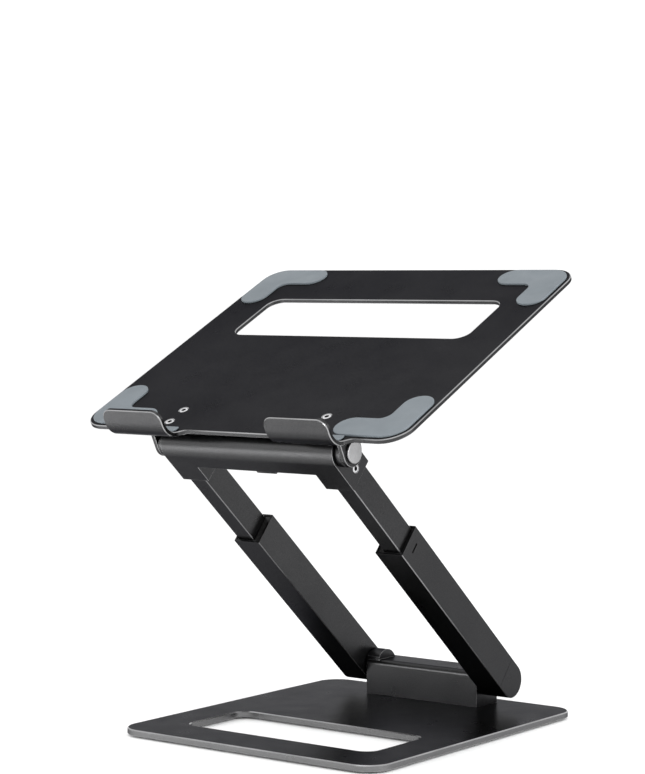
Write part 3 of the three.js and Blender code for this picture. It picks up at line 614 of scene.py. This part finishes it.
def ribbed_foot_tree():
    """Long feet with round ends and cross ribs underneath, one at each place."""
    sizes = {"Length": 38.0, "Width": 11.0, "Height": 1.2, "Ribs": 9, "Rib Width": 1.4,
             "Rib Height": 0.35}
    tree, size = new_tree("ribbed_foot", sizes)
    nearly_half = maths(tree, "MULTIPLY", size["Width"], 0.499)
    outline = cornered(tree, size["Length"], size["Width"], nearly_half, 12)
    body = extruded(tree, outline, maths(tree, "SUBTRACT", size["Height"], size["Rib Height"]))
    body = raised(tree, body, size["Rib Height"])
    span = maths(tree, "SUBTRACT", size["Length"], size["Width"])
    last = maths(tree, "SUBTRACT", size["Ribs"], 1.0)
    step = node(tree, "ShaderNodeCombineXYZ", {"X": maths(tree, "DIVIDE", span, last)}).outputs[0]
    start = node(tree, "ShaderNodeCombineXYZ", {"X": maths(tree, "MULTIPLY", span, -0.5)}).outputs[0]
    inputs = {"Count": size["Ribs"], "Start Location": start, "Offset": step}
    row = node(tree, "GeometryNodeMeshLine", inputs).outputs[0]
    across = maths(tree, "MULTIPLY", size["Width"], 0.8)
    block = node(tree, "ShaderNodeCombineXYZ",
                 {"X": size["Rib Width"], "Y": across, "Z": size["Rib Height"]}).outputs[0]
    rib = node(tree, "GeometryNodeMeshCube", {"Size": block}).outputs[0]
    rib = raised(tree, rib, maths(tree, "MULTIPLY", size["Rib Height"], 0.5))
    ribs = node(tree, "GeometryNodeInstanceOnPoints", {"Points": row, "Instance": rib}).outputs[0]
    foot = joined(tree, body, ribs)
    placed = node(tree, "GeometryNodeInstanceOnPoints", {"Points": size["Places"], "Instance": foot})
    return ending(tree, placed.outputs[0], size["Material"])


DRAWN_TUBE = drawn_tube_tree()
SOCKET_SCREW = socket_screw_tree()
RIBBED_FOOT = ribbed_foot_tree()


def grown(name, tree, places, material, **sizes):
    """An object of points with the tree on it, settled into a plain closed mesh."""
    mesh = bpy.data.meshes.new(name)
    mesh.from_pydata(places, [], [])
    piece = bpy.data.objects.new(name, mesh)
    bpy.context.scene.collection.objects.link(piece)
    modifier = piece.modifiers.new("shape", "NODES")
    modifier.node_group = tree
    for item in tree.interface.items_tree:
        label = item.name.replace(" ", "_").lower()
        if item.in_out == "INPUT" and label in sizes:
            modifier[item.identifier] = sizes[label]
        if item.in_out == "INPUT" and item.name == "Material":
            modifier[item.identifier] = material
    settle(piece)
    return with_mesh(piece, lambda shape: bmesh.ops.recalc_face_normals(shape, faces=shape.faces))


# ---- base ----


def make_base_plate():
    outline = rounded(-BASE_WIDTH / 2, 0, BASE_WIDTH / 2, BASE_DEPTH, BASE_CORNER, 16)
    window = rounded(-WINDOW["half"], WINDOW["front"], WINDOW["half"], WINDOW["back"], WINDOW["corner"], 12)
    outlines = [outline, hole(window)]
    outlines += [hole(circle(x, y, BLOCK_SCREW["head"] + GAP, 32)) for x, y in block_screw_places()]
    layers = flat_rims(PLATE_BOTTOM, PLATE_TOP, BASE_CHAMFER)
    plate = solid("base_plate_sheet", outlines, layers, cut_rims=True)
    # Upright rim faces take the lighter copy of the anodising: painted light on the plate's sides.
    for face in plate.data.polygons:
        if abs(face.normal.z) < UPRIGHT:
            face.material_index = 2
    finished(plate, BASE, "base", [ANODISED, CUT_EDGE, RIM_LIGHT_PAINT], ["base_plate"])


def block_screw_places():
    return [(side * BLOCK_SCREW["x"], y) for _, side in SIDES for y in BLOCK_SCREW["rows"]]


def make_hinge_block():
    low = PLATE_TOP + GAP
    front, back, top = BLOCK["front"], BLOCK["back"], BLOCK["top"]
    front_round, back_round = BLOCK_ROUND["front"], BLOCK_ROUND["back"]
    profile = [(front, low), (back, low)]
    profile += arc(back - back_round, top - back_round, back_round, 0, 90, 6)
    profile += arc(front + front_round, top - front_round, front_round, 90, 180, 10)
    block = solid("hinge_block_bar", [profile], [(0, -BLOCK["half"]), (0, BLOCK["half"])], across=True)
    axis_height = ARM.translation.z / MM
    reach = math.degrees(math.acos((EAR["front"] - AXIS_BACK) / EAR["radius"]))
    ear = arc(AXIS_BACK, axis_height, EAR["radius"], -reach, reach, 48)
    ears = []
    for name, side in SIDES:
        ends = sorted((side * EAR["inner"], side * BLOCK["half"]))
        ears.append(solid("ear_" + name, [ear], [(0, x) for x in ends], across=True))
    combine(block, ears, "UNION")
    through = BLOCK["half"] + OVERCUT
    bore = rod("bore", BLOCK_BORE, -through, through, AXIS_BACK, axis_height, 48)
    combine(block, [bore], "DIFFERENCE")
    soften(block, BLOCK_ROUND["edges"], 40, EDGE_HIGHLIGHT_PAINT)
    finished(block, BASE, "base", [ANODISED, EDGE_HIGHLIGHT_PAINT], ["hinge_block"])


def make_base_screws():
    deep, sunk = BLOCK_SCREW["deep"], BLOCK_SCREW["sunk"]
    places = [(x, -y, -PLATE_BOTTOM - sunk) for x, y in block_screw_places()]
    screws = grown("block_screws", SOCKET_SCREW, places, ZINC_STEEL, head_radius=BLOCK_SCREW["head"],
                   head_height=deep - sunk, shank_radius=BLOCK_SCREW["shank"],
                   shank_length=BLOCK_SCREW["top"] - PLATE_BOTTOM - deep, **BLOCK_SOCKET)
    upside_down = BASE @ Matrix.Rotation(math.pi, 4, "X")
    nodes = [f"block_screw_{i}" for i in (1, 2, 3, 4)]
    finished(screws, upside_down, "base", [], nodes)


def make_feet():
    x = BASE_WIDTH / 2 - FOOT["from_side"]
    rows = (FOOT["from_end"], BASE_DEPTH - FOOT["from_end"])
    places = [(side * x, y, 0) for _, side in SIDES for y in rows]
    feet = grown("feet", RIBBED_FOOT, places, FOOT_RUBBER, length=FOOT["length"], width=FOOT["width"])
    nodes = [f"foot_{end}_{side}" for side, _ in SIDES for end in ENDS]
    finished(feet, BASE, "base", [FOOT_RUBBER], nodes)


# ---- arms ----


def mark_long_edges(piece, half_depth):
    """The 45 degree cuts along a tube's outside get the second material, the painted edge highlight."""
    for face in piece.data.polygons:
        across, along, up = (abs(part) for part in face.normal)
        slanted = min(across, along) > SLANTED and up < UPRIGHT
        face.material_index = int(slanted and abs(face.center.y) > half_depth - ARM_EDGE)


def make_tube(name, inner, outer, half_depth, wall, bottom, top, side):
    middle = side * (inner + outer) / 2
    tube = grown(name, DRAWN_TUBE, [(0, 0, 0)], ANODISED, width=outer - inner, depth=2 * half_depth,
                 corner=ARM_EDGE, hole_width=outer - inner - 2 * wall,
                 hole_depth=2 * (half_depth - wall), hole_corner=ARM_BORE_CORNER, length=top - bottom)
    tube.data.transform(Matrix.Translation((middle, 0, bottom)))
    return tube


def make_lower_arm(name, side):
    sleeve = make_tube(f"sleeve_{name}", ARM_INNER, ARM_OUTER, ARM_HALF_DEPTH, SLEEVE["wall"],
                       SLEEVE["bottom"], SLEEVE["top"], side)
    long, high = SNAP["half_long"] + GAP, SNAP["half_high"] + GAP
    slot_inner = side * (ARM_OUTER - SLEEVE["wall"] - OVERCUT)
    slot = box("slot", slot_inner, side * (ARM_OUTER + OVERCUT), -long, long,
               SNAP["at"] - high, SNAP["at"] + high)
    combine(sleeve, [slot], "DIFFERENCE")
    soften(sleeve, ARM_CUT_ROUND, 60)
    mark_long_edges(sleeve, ARM_HALF_DEPTH)
    finished(sleeve, ARM, "lower_arms", [ANODISED, EDGE_HIGHLIGHT_PAINT], [f"lower_arm_{name}"])


def make_arm_end(name, side):
    top = SLEEVE["bottom"] - GAP
    profile = [(ARM_HALF_DEPTH, top + OVERLAP), (-ARM_HALF_DEPTH, top + OVERLAP)]
    profile += arc(0, 0, ARM_HALF_DEPTH, 180, 360, 40)
    ends = sorted((side * ARM_INNER, side * ARM_OUTER))
    body = solid(f"arm_end_cap_{name}", [profile], flat_rims(*ends, ARM_EDGE), across=True, cut_rims=True)
    trim(body, top)
    finished(body, ARM, "lower_arms", [ANODISED, EDGE_HIGHLIGHT_PAINT], [f"arm_end_{name}"])


def make_collar(name, side):
    inset = COLLAR["fit"] + SLEEVE["wall"]
    outer_width = ARM_OUTER - ARM_INNER - 2 * inset
    play = COLLAR["play"]
    shift = (TUBE["inner"] + TUBE["outer"] - ARM_INNER - ARM_OUTER) / 2
    collar = grown(f"mouth_collar_{name}", DRAWN_TUBE, [(0, 0, 0)], BLACK_PLASTIC, width=outer_width,
                   depth=2 * (ARM_HALF_DEPTH - inset), hole_width=TUBE["outer"] - TUBE["inner"] + 2 * play,
                   hole_depth=2 * (TUBE["half_depth"] + play), hole_corner=COLLAR["corner"],
                   hole_shift=side * shift, length=SLEEVE["top"] - COLLAR["recess"] - COLLAR["bottom"])
    middle = side * (ARM_INNER + ARM_OUTER) / 2
    collar.data.transform(Matrix.Translation((middle, 0, COLLAR["bottom"])))
    tab = box("tab", side * (TUBE["outer"] + 2 * play), side * (ARM_OUTER - SNAP["sunk"]),
              -SNAP["half_long"], SNAP["half_long"], SNAP["at"] - SNAP["half_high"],
              SNAP["at"] + SNAP["half_high"])
    combine(collar, [tab], "UNION")
    soften(collar, COLLAR["edges"], 60)
    finished(collar, ARM, "lower_arms", [BLACK_PLASTIC], [f"collar_{name}"])


def make_upper_arm(name, side):
    tube = make_tube(f"inner_tube_{name}", TUBE["inner"], TUBE["outer"], TUBE["half_depth"],
                     TUBE["wall"], TUBE["bottom"], TUBE["top"], side)
    soften(tube, ARM_CUT_ROUND, 60)
    mark_long_edges(tube, TUBE["half_depth"])
    finished(tube, ARM, "upper_arms", [ANODISED, EDGE_HIGHLIGHT_PAINT], [f"upper_arm_{name}"])


# ---- yoke and upper hinge ----


def make_yoke():
    depth = ARM_HALF_DEPTH
    profile = [(-depth, YOKE["web_bottom"]), (depth, YOKE["web_bottom"])]
    profile += arc(0, YOKE_AXIS, depth, 0, 180, 56)
    yoke = solid("yoke_barrel", [profile], [(0, -ARM_OUTER), (0, ARM_OUTER)], across=True)
    added, cutters = [], []
    for name, side in SIDES:
        ends = (side * ARM_INNER, side * ARM_OUTER)
        leg_top = YOKE["web_bottom"] + OVERLAP
        added.append(box("leg", *ends, -depth, depth, YOKE["leg_bottom"], leg_top))
        tube_ends = (side * (TUBE["inner"] - GAP), side * (TUBE["outer"] + GAP))
        half = TUBE["half_depth"] + GAP
        mouth = YOKE["leg_bottom"] - OVERCUT
        cutters.append(box("socket", *tube_ends, -half, half, mouth, TUBE["top"] + GAP))
        seat = (side * (ARM_OUTER - YOKE_SCREW["deep"]), side * (ARM_OUTER + OVERCUT))
        cutters.append(rod("seat", YOKE_SCREW["head"] + GAP, *seat, 0, YOKE_SCREW["at"], 40))
    added.append(box("tab", YOKE_TAB["from"], YOKE_TAB["to"], YOKE_TAB["front"], YOKE_TAB["back"],
                     YOKE["web_bottom"] - YOKE_TAB["drop"], YOKE["web_bottom"] + OVERLAP / 2))
    through = ARM_OUTER + OVERCUT
    cutters.append(rod("bore", YOKE["bore"], -through, through, 0, YOKE_AXIS, 64))
    combine(yoke, added, "UNION")
    combine(yoke, cutters, "DIFFERENCE")
    soften(yoke, YOKE["edges"], 40, EDGE_HIGHLIGHT_PAINT)
    finished(yoke, ARM, "upper_arms", [ANODISED, EDGE_HIGHLIGHT_PAINT], ["yoke"])


def make_yoke_screw(name, side):
    turn = (0, side * math.pi / 2, 0)
    place = (side * (ARM_OUTER - YOKE_SCREW["sunk"]), 0, YOKE_SCREW["at"])
    high = YOKE_SCREW["deep"] - YOKE_SCREW["sunk"] - YOKE_SCREW["under"]
    screw = grown(f"arm_screw_{name}", SOCKET_SCREW, [place], STAINLESS, head_radius=YOKE_SCREW["head"],
                  head_height=high, shank_radius=YOKE_SCREW["shank"], shank_length=YOKE_SCREW["long"],
                  turn=turn, **SMALL_SOCKET)
    finished(screw, ARM, "upper_arms", [], [f"yoke_screw_{name}"])


def make_spacer(name, side):
    inner, outer, radius = ARM_OUTER + GAP, SPACER["outer"], SPACER["radius"]
    bore, edge = PIN["radius"] + GAP, SPACER["edge"]
    profile = [(bore, inner), (radius - edge, inner), (radius, inner + edge), (radius, outer - edge),
               (radius - edge, outer), (bore, outer)]
    spacer = turned(f"knuckle_spacer_{name}", profile)
    spacer.data.transform(Matrix.Translation((0, 0, YOKE_AXIS)))
    if side < 0:
        mirrored(spacer)
    finished(spacer, ARM, "upper_arms", [ANODISED], [f"pin_spacer_{name}"])


def make_pin(name, side):
    low = LUG["outer"] + GAP
    top = low + PIN["high"]
    radius, inner, head = PIN["radius"], PIN["inner"], PIN["head"]
    tip, under, round_rim = PIN_EDGE["tip"], PIN_EDGE["under"], PIN_EDGE["rim"]
    rim = arc(head - round_rim, top - round_rim, round_rim, 0, 90, 4)
    profile = [(0, inner), (radius - tip, inner), (radius, inner + tip), (radius, low),
               (head - under, low), (head, low + under), *rim, (0, top)]
    pin = turned(f"hinge_pin_{name}", profile)
    if side < 0:
        mirrored(pin)
    finished(pin, TRAY, "tray", [SATIN_CAP], [f"tray_pin_{name}"])


# ---- tray ----


def tray_outline():
    """The flat blank: a rounded rectangle with two tabs at the front that become the hooks."""
    corner, half = TRAY_CORNER, TRAY_HALF
    tip = TRAY_FRONT - hook_length()
    top, fillet = HOOK["corner"], HOOK["fillet"]
    outline = arc(corner - half, TRAY_FRONT + corner, corner, 180, 270, 16)
    for left, right in ((-HOOK["outer"], -HOOK["inner"]), (HOOK["inner"], HOOK["outer"])):
        outline += arc(left - fillet, TRAY_FRONT - fillet, fillet, 90, 0, 8)
        outline += arc(left + top, tip + top, top, 180, 270, 12)
        outline += arc(right - top, tip + top, top, 270, 360, 12)
        outline += arc(right + fillet, TRAY_FRONT - fillet, fillet, 180, 90, 8)
    outline += arc(half - corner, TRAY_FRONT + corner, corner, 270, 360, 16)
    outline += arc(half - corner, TRAY_BACK - corner, corner, 0, 90, 16)
    outline += arc(corner - half, TRAY_BACK - corner, corner, 90, 180, 16)
    return outline


def bend_length():
    return (HOOK["reach"] - TRAY_THICK / 2) * math.pi / 2


def hook_length():
    return bend_length() + TRAY_TOP + HOOK["high"] - TRAY_UNDER - HOOK["reach"]


def bend_hooks(shape):
    """Bends everything in front of the tray's front edge up through a quarter turn."""
    steps = 18
    cuts = [TRAY_FRONT + HOOK_LEAD] + [TRAY_FRONT - bend_length() * i / steps for i in range(steps + 1)]
    for y in cuts:
        everything = [*shape.verts, *shape.edges, *shape.faces]
        bmesh.ops.bisect_plane(shape, geom=everything, plane_co=(0, y, 0), plane_no=(0, 1, 0))
    middle = TRAY_UNDER + HOOK["reach"]
    for corner in shape.verts:
        along = TRAY_FRONT - corner.co.y
        if along <= 0:
            continue
        radius = middle - corner.co.z
        angle = min(along / bend_length(), 1) * math.pi / 2
        rise = max(along - bend_length(), 0)
        corner.co.y = TRAY_FRONT - radius * math.sin(angle)
        corner.co.z = middle - radius * math.cos(angle) + rise


def tray_screw_places():
    rows = (-TRAY_SCREW["y"], TRAY_SCREW["y"])
    return [(side * TRAY_SCREW["x"], y) for _, side in SIDES for y in rows]


def make_tray():
    vent = rounded(-VENT["half"], VENT["front"], VENT["half"], VENT["back"], VENT["corner"], 12)
    outlines = [tray_outline(), hole(vent)]
    outlines += [hole(circle(x, y, TRAY_SCREW["head"] + GAP, 32)) for x, y in tray_screw_places()]
    tray = solid("tray_sheet", outlines, flat_rims(TRAY_UNDER, TRAY_TOP, TRAY_CHAMFER), cut_rims=True)
    with_mesh(tray, bend_hooks)
    finished(tray, TRAY, "tray", [ANODISED, CUT_EDGE], ["tray"])


def make_tray_screws():
    places = [(x, y, TRAY_TOP - TRAY_SCREW["sunk"]) for x, y in tray_screw_places()]
    length = LEAF_PLATE["thick"] + TRAY_THICK - TRAY_SCREW["deep"]
    screws = grown("tray_screws", SOCKET_SCREW, places, STAINLESS, head_radius=TRAY_SCREW["head"],
                   head_height=TRAY_SCREW["deep"] - TRAY_SCREW["sunk"],
                   shank_radius=TRAY_SCREW["shank"], shank_length=length, **SMALL_SOCKET)
    nodes = [f"tray_screw_{end}_{side}" for side, _ in SIDES for end in ENDS]
    finished(screws, TRAY, "tray", [], nodes)


def make_bracket(name, side):
    top = TRAY_UNDER - GAP
    bottom = top - LEAF_PLATE["thick"]
    radius, half = LUG["radius"], LEAF_PLATE["half"]
    shoulder = bottom - LUG["shoulder"]
    profile = [(-half, top), (-half, bottom), (-radius, shoulder), (-radius, 0)]
    profile += arc(0, 0, radius, 180, 360, 48)[1:]
    profile += [(radius, shoulder), (half, bottom), (half, top)]
    ends = sorted((side * LUG["inner"], side * LUG["outer"]))
    cheek = solid(f"hinge_lug_{name}", [profile], [(0, x) for x in ends], across=True)
    corner = LEAF_PLATE["corner"]
    outline = rounded(side * LEAF_PLATE["inner"], -half, side * LUG["outer"], half, corner, 6)
    plate = solid("leaf", [outline], [(0, bottom), (0, top)])
    combine(cheek, [plate], "UNION")
    through = (side * (LUG["inner"] - OVERCUT), side * (LUG["outer"] + OVERCUT))
    bore = rod("bore", PIN["radius"] + GAP, *through, 0, 0, 40)
    combine(cheek, [bore], "DIFFERENCE")
    soften(cheek, LUG["edges"], 40, EDGE_HIGHLIGHT_PAINT)
    finished(cheek, TRAY, "tray", [ANODISED, EDGE_HIGHLIGHT_PAINT], [f"tray_bracket_{name}"])


def pad_outline():
    """The front right corner pad: an L with round ends and a hollow inner corner."""
    right, low = TRAY_HALF - PAD["margin"], TRAY_FRONT + PAD["margin"]
    width, outer, inner = PAD["width"], PAD["outer"], PAD["inner"]
    end = width / 2
    outline = arc(right - outer, low + outer, outer, 270, 360, 14)
    outline += arc(right - end, low + PAD["along"] - end, end, 0, 180, 20)
    outline += arc(right - width - inner, low + width + inner, inner, 0, -90, 10)
    outline += arc(right - PAD["across"] + end, low + end, end, 90, 270, 20)
    return outline


def make_corner_pad(end_name, side_name, side):
    low, high = TRAY_TOP + PAD_HEIGHT["low"], TRAY_TOP + PAD_HEIGHT["high"]
    layers = round_top(low, high, PAD_HEIGHT["round"], 4)
    pad = solid(f"silicone_pad_{end_name}_{side_name}", [pad_outline()], layers)
    if side < 0:
        mirrored(pad)
    if end_name == "rear":
        back_to_front = Matrix.Scale(-1, 4, (0, 1, 0))
        pad.data.transform(Matrix.Translation((0, TRAY_FRONT + TRAY_BACK, 0)) @ back_to_front)
        with_mesh(pad, lambda shape: bmesh.ops.reverse_faces(shape, faces=shape.faces))
    finished(pad, TRAY, "tray", [SILICONE], [f"corner_pad_{end_name}_{side_name}"])


def make_lip_pad(name, side):
    centre = TRAY_UNDER + HOOK["reach"]
    outer = HOOK["reach"] - TRAY_THICK - LIP_PAD["fit"]
    inner = outer - LIP_PAD["thick"]
    top = TRAY_TOP + LIP_PAD["rise"]
    back, from_end = TRAY_FRONT + LIP_PAD["flat"], LIP_PAD["from_end"]
    strip = [(back, centre - outer), (back, centre - inner)]
    strip += arc(TRAY_FRONT, centre, inner, 270, 180, 16)
    strip += [(TRAY_FRONT - inner, top), (TRAY_FRONT - outer, top)]
    strip += arc(TRAY_FRONT, centre, outer, 180, 270, 16)
    ends = sorted(side * x for x in (HOOK["inner"] + from_end, HOOK["outer"] - from_end))
    pad = solid(f"hook_liner_{name}", [strip], flat_rims(*ends, LIP_PAD["chamfer"]), across=True)
    finished(pad, TRAY, "tray", [SILICONE], [f"lip_pad_{name}"])


# ---- inner pieces keep their CAD shape ----

INNER_FINISH = {
    "shaft_bush": BRONZE,
    "pin_bush": BRONZE,
    "lower_shaft": ZINC_STEEL,
    "lower_springs": ZINC_STEEL,
    "lower_lock_nut": ZINC_STEEL,
    "leaf_spring": ZINC_STEEL,
    "pin_springs": ZINC_STEEL,
    "pin_nut": ZINC_STEEL,
    "friction_pad": BLACK_PLASTIC,
    "glide": BLACK_PLASTIC,
    "hinge_washer": BLACK_PLASTIC,
}


def finish_inner_pieces():
    for name, piece in frame["nodes"].items():
        for start, material in INNER_FINISH.items():
            if name.startswith(start):
                piece.data.materials.clear()
                piece.data.materials.append(material)


# ---- studio, in metres ----

FLOOR_RADIUS = 40
ROOM_BRIGHTNESS = 1.12


def make_floor():
    floor = made_object("floor", flat_disc(FLOOR_RADIUS, 96))
    material, tree, place, shader = new_material("floor_paper")
    fibre = cloud(tree, place, 400, 3)
    color = tint(tree, cloud(tree, place, 3, 2), (0.9, 0.9, 0.9), (0.92, 0.92, 0.92))
    roughness = between(tree, fibre, 0.8, 0.9)
    dress(tree, shader, color, roughness, bump(tree, fibre, 0.02, 0.0002), Specular_IOR_Level=0.2)
    floor.data.materials.append(material)


def flat_disc(radius, steps):
    shape = bmesh.new()
    rim = [shape.verts.new((x, y, 0)) for x, y in circle(0, 0, radius, steps)]
    shape.faces.new(rim)
    return shape


def soft_light(name, place, target, width, height, power):
    data = bpy.data.lights.new(name, "AREA")
    data.shape = "RECTANGLE"
    data.size = width
    data.size_y = height
    data.energy = power
    light = bpy.data.objects.new(name, data)
    light.location = place
    light.visible_camera = False
    light.rotation_euler = (Vector(target) - Vector(place)).to_track_quat("-Z", "Y").to_euler()
    bpy.context.scene.collection.objects.link(light)


def make_studio():
    world = bpy.data.worlds.new("studio")
    world.use_nodes = True
    background = world.node_tree.nodes["Background"]
    background.inputs["Color"].default_value = (1, 1, 1, 1)
    background.inputs["Strength"].default_value = ROOM_BRIGHTNESS
    bpy.context.scene.world = world
    middle = (0, 0, 0.2)
    soft_light("overhead", (-0.2, -0.1, 1.9), middle, 1.6, 1.2, 6)
    front_place = (-0.42, -0.6)
    soft_light("front_floor", (*front_place, 0.16), (*front_place, 0), 0.5, 0.5, 6)
    soft_light("front_left", (-1.5, -1.5, 0.5), middle, 0.9, 0.7, 3)
    soft_light("right", (2.0, 0.2, 0.7), middle, 1.2, 1.2, 28)
    soft_light("front_right", (1.25, -1.75, 0.6), middle, 0.3, 0.5, 10)
    bpy.context.scene.view_settings.view_transform = "Standard"


def make_camera():
    data = bpy.data.cameras.new("camera")
    data.lens = 107.33
    data.sensor_width = 36
    data.clip_end = 200
    camera = bpy.data.objects.new("camera", data)
    camera.location = (1.0456, -1.4034, 0.3454)
    camera.rotation_euler = (math.radians(87.28), 0, math.radians(37.08))
    bpy.context.scene.collection.objects.link(camera)
    bpy.context.scene.camera = camera


make_camera()
make_studio()
make_floor()
make_base_plate()
make_hinge_block()
make_base_screws()
make_feet()
make_yoke()
make_tray()
make_tray_screws()
for side_name, side_sign in SIDES:
    make_lower_arm(side_name, side_sign)
    make_arm_end(side_name, side_sign)
    make_collar(side_name, side_sign)
    make_upper_arm(side_name, side_sign)
    make_yoke_screw(side_name, side_sign)
    make_spacer(side_name, side_sign)
    make_pin(side_name, side_sign)
    make_bracket(side_name, side_sign)
    make_lip_pad(side_name, side_sign)
    for end_name in ENDS:
        make_corner_pad(end_name, side_name, side_sign)
finish_inner_pieces()
